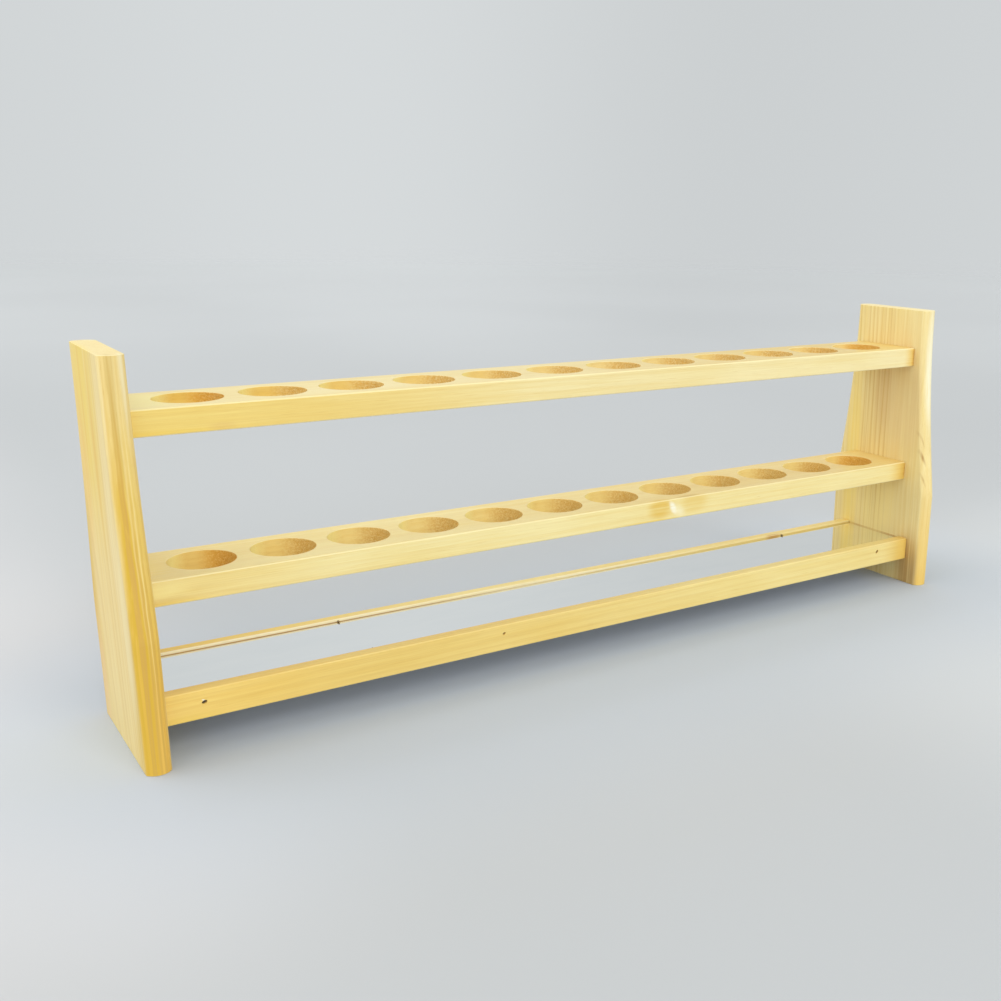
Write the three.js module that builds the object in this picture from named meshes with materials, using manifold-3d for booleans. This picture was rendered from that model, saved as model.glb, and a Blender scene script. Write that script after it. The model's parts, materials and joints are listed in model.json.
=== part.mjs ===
// Two-tier wooden rack for twelve large test tubes, with a mirror floor that shows the tubes from below.
// Millimetres, +Z up, +X along the rack, -Y towards the person using it.
// The origin is on the ground, in the middle of the rack.

import * as THREE from "three";
import { mergeVertices } from "three/addons/utils/BufferGeometryUtils.js";
import Module from "manifold-3d";

const wasm = await Module();
wasm.setup();

// ---- driving dimensions ----

const LENGTH = 480;

const END_THICKNESS = 10.6;
const END_HEIGHT = 173.6;
const FOOT_HALF_DEPTH = 36.8; // flat part of an end board, without its rounded edges
const TOP_HALF_DEPTH = 25.8;
const SHOULDER_HEIGHT = 58; // the edges run straight up to here, then sweep in
const SWEEP_LOW = { halfDepth: 33.2, height: 85 }; // the two control points of the sweep
const SWEEP_HIGH = { halfDepth: 26.2, height: 122 };
const NOSE_BULGE = 3.1; // how far the rounded edges stand out from the flat part
const NOSE_STEPS = 12;
const SWEEP_STEPS = 14;

const SHELF_DEPTH = 44;
const SHELF_THICKNESS = 11.4;
const TOP_SHELF_TOP = 150.6;
const MIDDLE_SHELF_TOP = 78.5;
const HOUSING_DEPTH = 3; // how far the shelf and base ends are let into the end boards

const HOLE_COUNT = 12;
const HOLE_PITCH = 36.5;
const HOLE_DIAMETER = 29.3;

const RAIL_BOTTOM = 16;
const RAIL_HEIGHT = 13.6;
const RAIL_THICKNESS = 6.8;
const BASE_THICKNESS = 10.2;
const MIRROR_THICKNESS = 2;

const NAIL_LENGTH = 18;
const NAIL_POINT = 2;
const NAIL_SHANK_RADIUS = 0.7;
const NAIL_HEAD_RADIUS = 1.3;
const NAIL_HEAD_THICKNESS = 0.8;
const NAIL_SUNK = 0.4; // the head's depth below the rail's face
const NAILS = [
  { x: -212, z: 23.7 },
  { x: -65.5, z: 24.9 },
  { x: 202, z: 24.9 },
];

const SPRIG_LENGTH = 6;
const SPRIG_RADIUS = 0.4;
const SPRIG_REACH = 2; // how far a sprig stands out over the mirror
const SPRIG_XS = [-132, 167];

const GAP = 0.1; // glue line or clearance between touching pieces

// ---- worked-out dimensions ----

const INNER_LENGTH = LENGTH - 2 * END_THICKNESS;
const HOUSED_LENGTH = INNER_LENGTH + 2 * HOUSING_DEPTH;
const BASE_TOP = RAIL_BOTTOM + BASE_THICKNESS;
const MIRROR_BOTTOM = BASE_TOP + GAP;
const MIRROR_TOP = MIRROR_BOTTOM + MIRROR_THICKNESS;
const RAIL_INNER = SHELF_DEPTH / 2 + GAP;
const RAIL_OUTER = RAIL_INNER + RAIL_THICKNESS;
const SPRIG_HEIGHT = MIRROR_TOP + GAP + SPRIG_RADIUS;

// ---- materials ----

const PINE = { color: 0xecd28c, roughness: 0.42, metalness: 0 };
const PALE_PINE = { color: 0xf3e0a6, roughness: 0.42, metalness: 0 };
const SILVERED_GLASS = { color: 0xd6dcdc, roughness: 0.03, metalness: 1 };
const STEEL = { color: 0x6d655a, roughness: 0.45, metalness: 1 };

const rack = new THREE.Group();

function addPiece(name, geometry, finish) {
  const mesh = new THREE.Mesh(geometry, new THREE.MeshStandardMaterial(finish));
  mesh.name = name;
  rack.add(mesh);
}

// ---- solids ----

function toSolid(geometry) {
  const bare = geometry.clone();
  bare.deleteAttribute("normal");
  bare.deleteAttribute("uv");
  const merged = mergeVertices(bare, 1e-4);
  return new wasm.Manifold(
    new wasm.Mesh({
      numProp: 3,
      vertProperties: merged.attributes.position.array,
      triVerts: new Uint32Array(merged.index.array),
    }),
  );
}

function toGeometry(solid) {
  const mesh = solid.getMesh();
  const geometry = new THREE.BufferGeometry();
  geometry.setAttribute("position", new THREE.BufferAttribute(mesh.vertProperties, 3));
  geometry.setIndex(new THREE.BufferAttribute(mesh.triVerts, 1));
  geometry.computeVertexNormals();
  return geometry;
}

function cut(geometry, tools) {
  let solid = toSolid(geometry);
  for (const tool of tools) {
    solid = solid.subtract(toSolid(tool));
  }
  return toGeometry(solid);
}

function box(length, depth, height, x, y, bottom) {
  return new THREE.BoxGeometry(length, depth, height).translate(x, y, bottom + height / 2);
}

// ---- end boards ----

// An end board's half depth from the foot up: straight at first, then a slow sweep in to the narrow top.
function endLevels() {
  const sweep = new THREE.CubicBezierCurve(
    new THREE.Vector2(FOOT_HALF_DEPTH, SHOULDER_HEIGHT),
    new THREE.Vector2(SWEEP_LOW.halfDepth, SWEEP_LOW.height),
    new THREE.Vector2(SWEEP_HIGH.halfDepth, SWEEP_HIGH.height),
    new THREE.Vector2(TOP_HALF_DEPTH, END_HEIGHT),
  ).getPoints(SWEEP_STEPS);
  const points = [new THREE.Vector2(FOOT_HALF_DEPTH, 0), ...sweep];
  return points.map((p) => ({ halfDepth: p.x, height: p.y }));
}

// The board seen from above at one level: a bar whose front and rear edges are shallow arcs.
function endSection(halfDepth) {
  const halfThickness = END_THICKNESS / 2;
  const radius = (halfThickness ** 2 + NOSE_BULGE ** 2) / (2 * NOSE_BULGE);
  const spread = Math.asin(halfThickness / radius);
  const middle = halfDepth + NOSE_BULGE - radius;
  const points = [];
  for (const facing of [1, -1]) {
    for (let i = 0; i <= NOSE_STEPS; i++) {
      const angle = spread * ((2 * i) / NOSE_STEPS - 1);
      const x = -facing * radius * Math.sin(angle);
      const y = facing * (middle + radius * Math.cos(angle));
      points.push([x, y]);
    }
  }
  return points;
}

// Closed body through equal rings of points, one ring above the other.
function loft(rings) {
  const count = rings[0].length;
  const last = (rings.length - 1) * count;
  const index = [];
  for (let level = 0; level < rings.length - 1; level++) {
    for (let i = 0; i < count; i++) {
      const a = level * count + i;
      const b = level * count + ((i + 1) % count);
      index.push(a, b, b + count, a, b + count, a + count);
    }
  }
  for (let i = 1; i < count - 1; i++) {
    index.push(0, i + 1, i, last, last + i, last + i + 1);
  }
  const geometry = new THREE.BufferGeometry();
  geometry.setAttribute("position", new THREE.Float32BufferAttribute(rings.flat(2), 3));
  geometry.setIndex(index);
  return geometry;
}

// side is -1 for the left end and 1 for the right end.
function endBoard(side) {
  const centre = (side * (LENGTH - END_THICKNESS)) / 2;
  const rings = endLevels().map((level) =>
    endSection(level.halfDepth).map(([x, y]) => [centre + x, y, level.height]),
  );
  return cut(loft(rings), [
    housing(side, TOP_SHELF_TOP, SHELF_THICKNESS),
    housing(side, MIDDLE_SHELF_TOP, SHELF_THICKNESS),
    housing(side, BASE_TOP, BASE_THICKNESS),
  ]);
}

// Shallow pocket in an end board's inner face that takes the end of a shelf or of the base.
function housing(side, top, thickness) {
  const depth = 2 * (HOUSING_DEPTH + GAP);
  return box(
    depth,
    SHELF_DEPTH + 2 * GAP,
    thickness + 2 * GAP,
    (side * INNER_LENGTH) / 2,
    0,
    top - thickness - GAP,
  );
}

// ---- shelves ----

function holeX(index) {
  return (index - (HOLE_COUNT - 1) / 2) * HOLE_PITCH;
}

function shelf(top) {
  const plan = new THREE.Shape();
  plan.moveTo(-HOUSED_LENGTH / 2, -SHELF_DEPTH / 2);
  plan.lineTo(HOUSED_LENGTH / 2, -SHELF_DEPTH / 2);
  plan.lineTo(HOUSED_LENGTH / 2, SHELF_DEPTH / 2);
  plan.lineTo(-HOUSED_LENGTH / 2, SHELF_DEPTH / 2);
  plan.closePath();
  for (let i = 0; i < HOLE_COUNT; i++) {
    const hole = new THREE.Path();
    hole.absarc(holeX(i), 0, HOLE_DIAMETER / 2, 0, 2 * Math.PI, true);
    plan.holes.push(hole);
  }
  const board = new THREE.ExtrudeGeometry(plan, {
    depth: SHELF_THICKNESS,
    curveSegments: 32,
    bevelEnabled: false,
  });
  return board.translate(0, 0, top - SHELF_THICKNESS);
}

// ---- nails and sprigs ----

// A nail along Y, with its point at +Y. growth widens it for the hole that it sits in.
function nailBlank(growth) {
  const shank = NAIL_SHANK_RADIUS + growth;
  const head = NAIL_HEAD_RADIUS + growth;
  const neck = NAIL_LENGTH - NAIL_HEAD_THICKNESS - growth;
  const crown = growth > 0 ? NAIL_LENGTH + 2 * NAIL_SUNK : NAIL_LENGTH;
  const profile = [
    new THREE.Vector2(0, -growth),
    new THREE.Vector2(shank, NAIL_POINT),
    new THREE.Vector2(shank, neck),
    new THREE.Vector2(head, neck),
    new THREE.Vector2(head, crown),
    new THREE.Vector2(0, crown),
  ];
  return new THREE.LatheGeometry(profile, 12).rotateX(Math.PI).translate(0, NAIL_LENGTH, 0);
}

// side is -1 for the front rail and 1 for the rear rail.
function nail(side, { x, z }, growth = 0) {
  const blank = nailBlank(growth);
  if (side > 0) {
    blank.rotateZ(Math.PI);
  }
  return blank.translate(x, side * (RAIL_OUTER - NAIL_SUNK), z);
}

// A small headless pin in a rail's inner face that keeps the mirror down.
function sprig(side, x, growth = 0) {
  const radius = SPRIG_RADIUS + growth;
  const length = SPRIG_LENGTH + 2 * growth;
  const pin = new THREE.CylinderGeometry(radius, radius, length, 10);
  const middle = RAIL_INNER + SPRIG_LENGTH / 2 - SPRIG_REACH;
  return pin.translate(x, side * middle, SPRIG_HEIGHT);
}

// ---- base ----

function rail(side) {
  const length = INNER_LENGTH - 2 * GAP;
  const middle = (side * (RAIL_INNER + RAIL_OUTER)) / 2;
  const strip = box(length, RAIL_THICKNESS, RAIL_HEIGHT, 0, middle, RAIL_BOTTOM);
  const nailHoles = NAILS.map((place) => nail(side, place, GAP));
  const sprigHoles = SPRIG_XS.map((x) => sprig(side, x, GAP));
  return cut(strip, [...nailHoles, ...sprigHoles]);
}

function baseBoard() {
  const board = box(HOUSED_LENGTH, SHELF_DEPTH, BASE_THICKNESS, 0, 0, RAIL_BOTTOM);
  const nailHoles = NAILS.flatMap((place) => [nail(-1, place, GAP), nail(1, place, GAP)]);
  return cut(board, nailHoles);
}

function mirrorPlate() {
  const length = INNER_LENGTH - 4 * GAP;
  const depth = SHELF_DEPTH - 2 * GAP;
  return box(length, depth, MIRROR_THICKNESS, 0, 0, MIRROR_BOTTOM);
}

// ---- the rack ----

addPiece("left_end_board", endBoard(-1), PINE);
addPiece("right_end_board", endBoard(1), PINE);
addPiece("top_shelf", shelf(TOP_SHELF_TOP), PALE_PINE);
addPiece("middle_shelf", shelf(MIDDLE_SHELF_TOP), PALE_PINE);
addPiece("base_board", baseBoard(), PINE);
addPiece("mirror_plate", mirrorPlate(), SILVERED_GLASS);
addPiece("front_rail", rail(-1), PALE_PINE);
addPiece("rear_rail", rail(1), PALE_PINE);

NAILS.forEach((place, i) => {
  addPiece(`front_rail_nail_${i + 1}`, nail(-1, place), STEEL);
  addPiece(`rear_rail_nail_${i + 1}`, nail(1, place), STEEL);
});

SPRIG_XS.forEach((x, i) => {
  addPiece(`front_mirror_sprig_${i + 1}`, sprig(-1, x), STEEL);
  addPiece(`rear_mirror_sprig_${i + 1}`, sprig(1, x), STEEL);
});

export default rack;
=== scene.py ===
"""A pine test tube rack with two shelves of tube holes and a mirror floor, in a plain pale studio.

Everything is in metres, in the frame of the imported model. Colours are linear red, green and blue.
"""

import json
import math

import bmesh
import bpy
from mathutils import Matrix, Vector, noise


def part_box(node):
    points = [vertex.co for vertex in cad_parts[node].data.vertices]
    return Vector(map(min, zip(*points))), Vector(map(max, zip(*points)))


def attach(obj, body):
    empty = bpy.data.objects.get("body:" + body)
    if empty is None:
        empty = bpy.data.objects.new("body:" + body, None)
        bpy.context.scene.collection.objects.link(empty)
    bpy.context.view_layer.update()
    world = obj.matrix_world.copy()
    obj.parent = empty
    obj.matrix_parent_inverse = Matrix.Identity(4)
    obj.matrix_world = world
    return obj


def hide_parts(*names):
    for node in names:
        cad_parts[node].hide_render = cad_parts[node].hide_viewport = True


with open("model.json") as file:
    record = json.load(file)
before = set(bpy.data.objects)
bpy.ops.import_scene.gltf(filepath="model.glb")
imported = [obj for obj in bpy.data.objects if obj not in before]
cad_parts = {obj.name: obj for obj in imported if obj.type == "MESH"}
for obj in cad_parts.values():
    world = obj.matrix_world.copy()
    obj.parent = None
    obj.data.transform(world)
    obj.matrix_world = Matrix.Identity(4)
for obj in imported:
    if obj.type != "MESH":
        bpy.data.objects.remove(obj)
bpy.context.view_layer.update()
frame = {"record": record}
MM = 0.001

# ---------------------------------------------------------------- camera

CAMERA_PLACE = Vector((-0.32740, -0.50529, 0.23263))
CAMERA_YAW = 0.6208
CAMERA_PITCH = -0.2762
CAMERA_ROLL = 0.0190
LENS = 41.342
SHIFT_X, SHIFT_Y = -0.13344, 0.03042


def add_camera():
    """A camera that looks along its yaw and pitch, with a small roll."""
    forward = Vector(
        (
            math.sin(CAMERA_YAW) * math.cos(CAMERA_PITCH),
            math.cos(CAMERA_YAW) * math.cos(CAMERA_PITCH),
            math.sin(CAMERA_PITCH),
        )
    )
    level_right = Vector((math.cos(CAMERA_YAW), -math.sin(CAMERA_YAW), 0))
    level_up = level_right.cross(forward)
    cosine, sine = math.cos(CAMERA_ROLL), math.sin(CAMERA_ROLL)
    right = level_right * cosine + level_up * sine
    up = level_up * cosine - level_right * sine
    turn = Matrix((right, up, -forward)).transposed().to_4x4()
    data = bpy.data.cameras.new("camera")
    data.sensor_width = 36
    data.sensor_fit = "HORIZONTAL"
    data.lens = LENS
    data.shift_x, data.shift_y = SHIFT_X, SHIFT_Y
    data.clip_start = 0.01
    camera = bpy.data.objects.new("camera", data)
    camera.matrix_world = Matrix.Translation(CAMERA_PLACE) @ turn
    bpy.context.scene.collection.objects.link(camera)
    bpy.context.scene.camera = camera


add_camera()

# ---------------------------------------------------------------- node helpers


def grey_ramp(nodes, links, value, stops, interpolation="LINEAR"):
    node = nodes.new("ShaderNodeValToRGB")
    node.color_ramp.interpolation = interpolation
    elements = node.color_ramp.elements
    while len(elements) < len(stops):
        elements.new(1.0)
    for element, (place, tone) in zip(elements, stops):
        element.position = place
        element.color = (tone, tone, tone, 1.0)
    links.new(value, node.inputs[0])
    return node.outputs[0]


class Shader:
    """A material's node tree, built from short expressions."""

    def __init__(self, name):
        self.material = bpy.data.materials.new(name)
        self.material.use_nodes = True
        self.nodes = self.material.node_tree.nodes
        self.links = self.material.node_tree.links
        self.surface = self.nodes["Principled BSDF"]

    def put(self, socket, value):
        if isinstance(value, bpy.types.NodeSocket):
            self.links.new(value, socket)
        else:
            socket.default_value = value

    def node(self, kind, **settings):
        node = self.nodes.new(kind)
        for key, value in settings.items():
            setattr(node, key, value)
        return node

    def math(self, operation, a, b=0.0, c=0.0, clamp=False):
        node = self.node("ShaderNodeMath", operation=operation, use_clamp=clamp)
        for socket, value in zip(node.inputs, (a, b, c)):
            self.put(socket, value)
        return node.outputs[0]

    def vector(self, x, y, z):
        node = self.node("ShaderNodeCombineXYZ")
        for socket, value in zip(node.inputs, (x, y, z)):
            self.put(socket, value)
        return node.outputs[0]

    def scaled(self, axes, *scales):
        return self.vector(*[self.math("MULTIPLY", a, s) for a, s in zip(axes, scales)])

    def noise(self, place, detail=2.0, roughness=0.5, seed=0.0):
        node = self.node("ShaderNodeTexNoise", noise_dimensions="4D")
        self.put(node.inputs["Vector"], place)
        self.put(node.inputs["W"], seed)
        self.put(node.inputs["Scale"], 1.0)
        self.put(node.inputs["Detail"], detail)
        self.put(node.inputs["Roughness"], roughness)
        return node.outputs["Fac"]

    def spread(self, value, low, high, to_low=0.0, to_high=1.0, smooth=True):
        """value from low..high onto to_low..to_high, held at the ends."""
        node = self.node("ShaderNodeMapRange", clamp=True)
        node.interpolation_type = "SMOOTHSTEP" if smooth else "LINEAR"
        for socket, number in zip(node.inputs, (value, low, high, to_low, to_high)):
            self.put(socket, number)
        return node.outputs[0]

    def ramp(self, value, stops):
        """A grey that follows value through stops, each a place and a brightness."""
        return grey_ramp(self.nodes, self.links, value, stops)

    def mix(self, share, a, b, blend="MIX"):
        """a where share is 0 and b where it is 1."""
        node = self.node("ShaderNodeMix", data_type="RGBA", blend_type=blend)
        self.put(node.inputs[0], share)
        for socket, value in ((node.inputs[6], a), (node.inputs[7], b)):
            self.put(socket, (*value, 1.0) if isinstance(value, tuple) else value)
        return node.outputs[2]

    def tinted(self, share, colour, tint):
        """The colour, multiplied by a tint as far as share says."""
        return self.mix(share, colour, self.mix(1.0, colour, tint, "MULTIPLY"))

    def length(self, *sides):
        total = 0.0
        for side in sides:
            total = self.math("MULTIPLY_ADD", side, side, total)
        return self.math("SQRT", total)

    def axes(self):
        place = self.node("ShaderNodeTexCoord").outputs["Object"]
        split = self.node("ShaderNodeSeparateXYZ")
        self.put(split.inputs[0], place)
        return split.outputs[0], split.outputs[1], split.outputs[2]

    def facing(self, kind="True Normal"):
        split = self.node("ShaderNodeSeparateXYZ")
        self.put(split.inputs[0], self.node("ShaderNodeNewGeometry").outputs[kind])
        return split.outputs[0], split.outputs[1], split.outputs[2]

    def bump(self, height, distance, strength=1.0, under=None):
        node = self.node("ShaderNodeBump")
        self.put(node.inputs["Strength"], strength)
        self.put(node.inputs["Distance"], distance)
        self.put(node.inputs["Height"], height)
        if under is not None:
            self.put(node.inputs["Normal"], under)
        return node.outputs[0]


# ---------------------------------------------------------------- pine

LATE_WOOD = (0.66, 0.40, 0.10)
END_GRAIN = (0.70, 0.395, 0.085)
RESIN = (0.50, 0.24, 0.04)
AMBER = (0.95, 0.76, 0.36)
FIBRE_TINT = (0.93, 0.90, 0.83)
STREAK_TINT = (0.96, 0.91, 0.78)
BLOTCH_TINT = (0.97, 0.93, 0.82)
WALL_TINT = (0.97, 0.88, 0.70)
# painted light on the hole walls that face +X
WALL_PAINTED_LIGHT = (1.0, 0.90, 0.36)
FAR_WALL_TINT = (1.0, 0.83, 0.52)
# pale colour painted on the eased edges: paler sanded wood and a painted highlight
SANDING_AND_HIGHLIGHT = (0.95, 0.86, 0.52)
RING_BAND = [(0.0, 0.0), (0.25, 0.04), (0.50, 0.30), (0.72, 0.9), (0.86, 1.0), (0.95, 0.5), (1.0, 0.0)]
RING_RIPPLE = 0.0004
SPOT_SHAKE = 0.0014
AMBER_FADE = 0.13
COAT_ROUGHNESS = 0.2
COAT_IOR = 1.45
GRAIN_RELIEF = 0.00006
TORN_RELIEF = 0.0006


class Pine(Shader):
    """The varnished pine of one board, with its fibres along the axis grain, X or Z."""

    def __init__(self, name, grain, seed):
        super().__init__(name)
        self.seed = seed
        self.x, self.y, self.z = self.axes()
        self.facing_x, self.facing_y, self.facing_z = self.facing()
        if grain == "X":
            self.along, self.across, self.cut_end = self.x, (self.y, self.z), self.facing_x
        else:
            self.along, self.across, self.cut_end = self.z, (self.y, self.x), self.facing_z
        self.fibre = self.grain_noise(45.0, 2400.0, 3.0, 0.6, 11)
        self.streak = self.grain_noise(9.0, 620.0, 2.0, 0.6, 12)
        self.fleck = self.grain_noise(620.0, 1500.0, 4.0, 0.7, 19)

    def axis(self, letter):
        return {"x": self.x, "y": self.y, "z": self.z}[letter]

    def grain_noise(self, along, across, detail, roughness, shift):
        """Noise drawn out along the fibres. along and across are its scales; shift picks its pattern."""
        place = self.scaled((self.along, *self.across), along, across, across)
        return self.noise(place, detail, roughness, self.seed + shift)

    def late_wood(self, pith, lean, spacing, wander, contrast, calm):
        """How far each place is late wood: rings round the pith, with some years and patches stronger."""
        wave = self.grain_noise(3.0, 20.0, 1.0, 0.5, 0)
        ripple = self.grain_noise(26.0, 160.0, 2.0, 0.5, 3)
        from_middle = [
            self.math("SUBTRACT", side, self.math("MULTIPLY_ADD", self.along, tilt, middle))
            for side, tilt, middle in zip(self.across, lean, pith)
        ]
        from_pith = self.math("MULTIPLY_ADD", wave, wander, self.length(*from_middle))
        from_pith = self.math("MULTIPLY_ADD", ripple, RING_RIPPLE, from_pith)
        place = self.vector(self.math("MULTIPLY", from_pith, 190.0), 0.0, 0.0)
        uneven = self.noise(place, 1.0, 0.5, self.seed + 5)
        rings = self.math("MULTIPLY_ADD", uneven, 1.6, self.math("DIVIDE", from_pith, spacing))
        band = self.ramp(self.math("FRACT", rings), RING_BAND)
        year = self.node("ShaderNodeTexWhiteNoise", noise_dimensions="1D")
        self.put(year.inputs["W"], self.math("ADD", self.math("FLOOR", rings), self.seed))
        strength = self.spread(year.outputs["Value"], 0.0, 1.0, 0.3 * contrast, contrast, False)
        patch = self.grain_noise(6.0, 50.0, 2.0, 0.5, 8)
        strength = self.math("MULTIPLY", strength, self.spread(patch, 0.3, 0.68, 0.5, 1.0))
        if calm:
            axis, start, finish = calm
            faint = self.spread(self.axis(axis), start, finish, 1.0, 0.3)
            strength = self.math("MULTIPLY", strength, faint)
        return self.math("MULTIPLY", band, strength, clamp=True)

    def fine_grain(self, colour):
        """Fibres, streaks, resin canals and blotches."""
        colour = self.tinted(self.spread(self.fibre, 0.3, 0.7, 1.0, 0.0, False), colour, FIBRE_TINT)
        colour = self.tinted(self.spread(self.streak, 0.35, 0.7, 0.0, 0.7), colour, STREAK_TINT)
        canal = self.grain_noise(110.0, 4800.0, 0.0, 0.5, 13)
        colour = self.mix(self.spread(canal, 0.73, 0.80, 0.0, 0.3), colour, LATE_WOOD)
        blotch = self.grain_noise(12.0, 40.0, 3.0, 0.55, 17)
        return self.tinted(self.spread(blotch, 0.32, 0.7), colour, BLOTCH_TINT)

    def board_tints(self, colour, fades, painted_top_shade, bored, nose_amber):
        """The slow changes of colour along the board and down its noses, and painted shade over its top."""
        level = self.spread(self.math("ABSOLUTE", self.facing_z), 0.6, 0.95)
        for axis, start, finish, tint in fades:
            share = self.spread(self.axis(axis), start, finish)
            if bored:
                share = self.math("MULTIPLY", share, self.math("MULTIPLY_ADD", level, -0.7, 1.0))
            colour = self.tinted(share, colour, tint)
        # painted shade: the upper face darkens toward +X
        if painted_top_shade:
            share = self.math("MULTIPLY", level, self.spread(self.x, -0.20, 0.20))
            colour = self.tinted(share, colour, painted_top_shade)
        if nose_amber:
            low_down = self.spread(self.z, nose_amber, nose_amber - AMBER_FADE)
            on_nose = self.spread(self.math("ABSOLUTE", self.facing_y), 0.35, 0.75)
            colour = self.tinted(self.math("MULTIPLY", on_nose, low_down), colour, AMBER)
        return colour

    def from_spot(self, place, spot):
        """Distance from a spot in the wood, in units of its own half sizes. The spot may lean about the Y
        axis, and may be on both the front and the back of the board."""
        if spot["both"]:
            place = (place[0], self.math("ABSOLUTE", place[1]), place[2])
        x, y, z = (self.math("SUBTRACT", axis, middle) for axis, middle in zip(place, spot["at"]))
        cosine, sine = math.cos(spot["lean"]), math.sin(spot["lean"])
        turned = (
            self.math("MULTIPLY_ADD", x, cosine, self.math("MULTIPLY", z, sine)),
            y,
            self.math("MULTIPLY_ADD", z, cosine, self.math("MULTIPLY", x, -sine)),
        )
        return self.length(*[self.math("DIVIDE", a, size) for a, size in zip(turned, spot["size"])])

    def marks(self, colour, spots):
        """Each spot's colour, bent and broken up by the fibres."""
        shake = self.grain_noise(30.0, 300.0, 2.0, 0.5, 6)
        shake = self.math("MULTIPLY_ADD", shake, SPOT_SHAKE, -SPOT_SHAKE / 2)
        place = (self.math("ADD", self.x, shake), self.math("ADD", self.y, shake), self.z)
        broken = self.spread(self.streak, 0.25, 0.55, 0.45, 1.0)
        for spot in spots:
            share = self.spread(self.from_spot(place, spot), spot["core"], 1.0, spot["strength"], 0.0)
            colour = self.mix(self.math("MULTIPLY", share, broken), colour, spot["colour"])
        return colour

    def cut_across(self, bored):
        """How far the fibres are cut across. In a tube hole that shows most on the wall toward +X."""
        if bored:
            toward_x = self.spread(self.cut_end, 0.0, -0.85)
            return self.math("ADD", toward_x, self.spread(self.cut_end, 0.75, 1.0, 0.0, 0.35))
        return self.spread(self.math("ABSOLUTE", self.cut_end), 0.05, 0.80)

    def hole_walls(self):
        """1 on the walls of the tube holes, 0 on the long faces of the shelf."""
        upright = self.spread(self.math("ABSOLUTE", self.facing_z), 0.7, 0.3)
        return self.math("MULTIPLY", upright, self.spread(self.math("ABSOLUTE", self.y), 0.0195, 0.0175))

    def end_grain(self, colour, early, share, end_colour):
        """Cut across, the fibres drink varnish: darker and flecked."""
        dark = self.mix(self.spread(self.fleck, 0.44, 0.62), end_colour, self.mix(0.5, end_colour, early))
        dark = self.mix(self.spread(self.fleck, 0.42, 0.34, 0.0, 0.6), dark, RESIN)
        return self.mix(share, colour, dark)

    def sanding_and_edge_highlight(self, colour, strength):
        """The eased edges are painted pale: partly paler sanded wood, partly a painted highlight."""
        _, facing_y, facing_z = self.facing("Normal")
        eased = self.math("MINIMUM", self.math("ABSOLUTE", facing_y), self.math("ABSOLUTE", facing_z))
        return self.mix(self.spread(eased, 0.2, 0.5, 0.0, strength), colour, SANDING_AND_HIGHLIGHT)

    def varnish(self, colour, late_share, ends, end_share, gloss):
        """A thin coat, rougher where the fibres are cut across, with the grain's slight relief in it."""
        rough = self.spread(self.fibre, 0.2, 0.8, 0.36, 0.5, False)
        relief = self.math("MULTIPLY_ADD", late_share, 0.5, self.math("MULTIPLY", self.fibre, 0.5))
        smooth = self.bump(relief, GRAIN_RELIEF, 0.7)
        torn = self.math("MULTIPLY", self.fleck, self.math("MULTIPLY", ends, end_share))
        inputs = {
            "Base Color": colour,
            "Roughness": self.math("MULTIPLY_ADD", ends, 0.2, rough),
            "Coat Weight": gloss,
            "Coat Roughness": COAT_ROUGHNESS,
            "Coat IOR": COAT_IOR,
            "Specular IOR Level": gloss,
            "Normal": self.bump(torn, TORN_RELIEF, 0.8, smooth),
        }
        for socket, value in inputs.items():
            self.put(self.surface.inputs[socket], value)


def pine(
    name,
    grain,
    pith,
    lean,
    spacing,
    seed,
    early,
    late=LATE_WOOD,
    contrast=1.0,
    wander=0.004,
    end_share=0.85,
    end_colour=END_GRAIN,
    gloss=0.18,
    sanding_and_highlight=0.55,
    calm=None,
    fades=(),
    spots=(),
    painted_top_shade=None,
    bored=False,
    nose_amber=0.0,
):
    """Varnished pine.

    grain is the axis that the fibres follow. pith is where the tree's middle lay across the board, in
    metres, and lean is how far it tilts for each metre along the grain. spacing is the width of a year's ring,
    contrast how strong the rings are, wander how far they wave, and calm an axis and the two places between
    which they grow faint. early and late are the colours of the two kinds of wood in a ring. end_share and
    end_colour say how the cut fibres look, gloss how strong the varnish is, and sanding_and_highlight how pale
    the eased edges are painted, partly as paler sanded wood and partly as a painted highlight. fades tint the
    board along an axis, painted_top_shade is painted shade that darkens its upper face toward +X, and spots
    are local colours, a few of them painted light or shade. bored is for boards with tube holes, whose hole
    walls that face +X get painted light. nose_amber is the height up to which the rounded noses have darkened.
    """
    s = Pine(name, grain, seed)
    late_share = s.late_wood(pith, lean, spacing, wander, contrast, calm)
    colour = s.fine_grain(s.mix(late_share, early, late))
    colour = s.board_tints(colour, fades, painted_top_shade, bored, nose_amber)
    colour = s.marks(colour, spots)
    ends = s.cut_across(bored)
    end_mix = s.math("MULTIPLY", ends, end_share)
    if bored:
        wall = s.hole_walls()
        # painted light: the hole walls that face +X are painted bright
        lit = s.math("MULTIPLY", wall, s.spread(s.facing_x, 0.15, 0.8, 0.0, 0.70))
        colour = s.mix(lit, s.tinted(wall, colour, WALL_TINT), WALL_PAINTED_LIGHT)
        colour = s.end_grain(colour, early, end_mix, end_colour)
        outer_holes = s.spread(s.math("ABSOLUTE", s.x), 0.165, 0.205)
        far = s.math("MULTIPLY", s.math("MULTIPLY", wall, outer_holes), s.spread(s.facing_x, 0.0, -0.7))
        colour = s.tinted(far, colour, FAR_WALL_TINT)
    else:
        colour = s.end_grain(colour, early, end_mix, end_colour)
    s.varnish(s.sanding_and_edge_highlight(colour, sanding_and_highlight), late_share, ends, end_share, gloss)
    return s.material


# ---------------------------------------------------------------- other finishes

CLEAR_MIRROR, WIPED_MIRROR = (0.925, 0.935, 0.925), (0.90, 0.915, 0.91)
DARK_STEEL, BROWNED_STEEL, RUST = (0.05, 0.045, 0.035), (0.30, 0.22, 0.10), (0.40, 0.24, 0.10)


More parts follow.
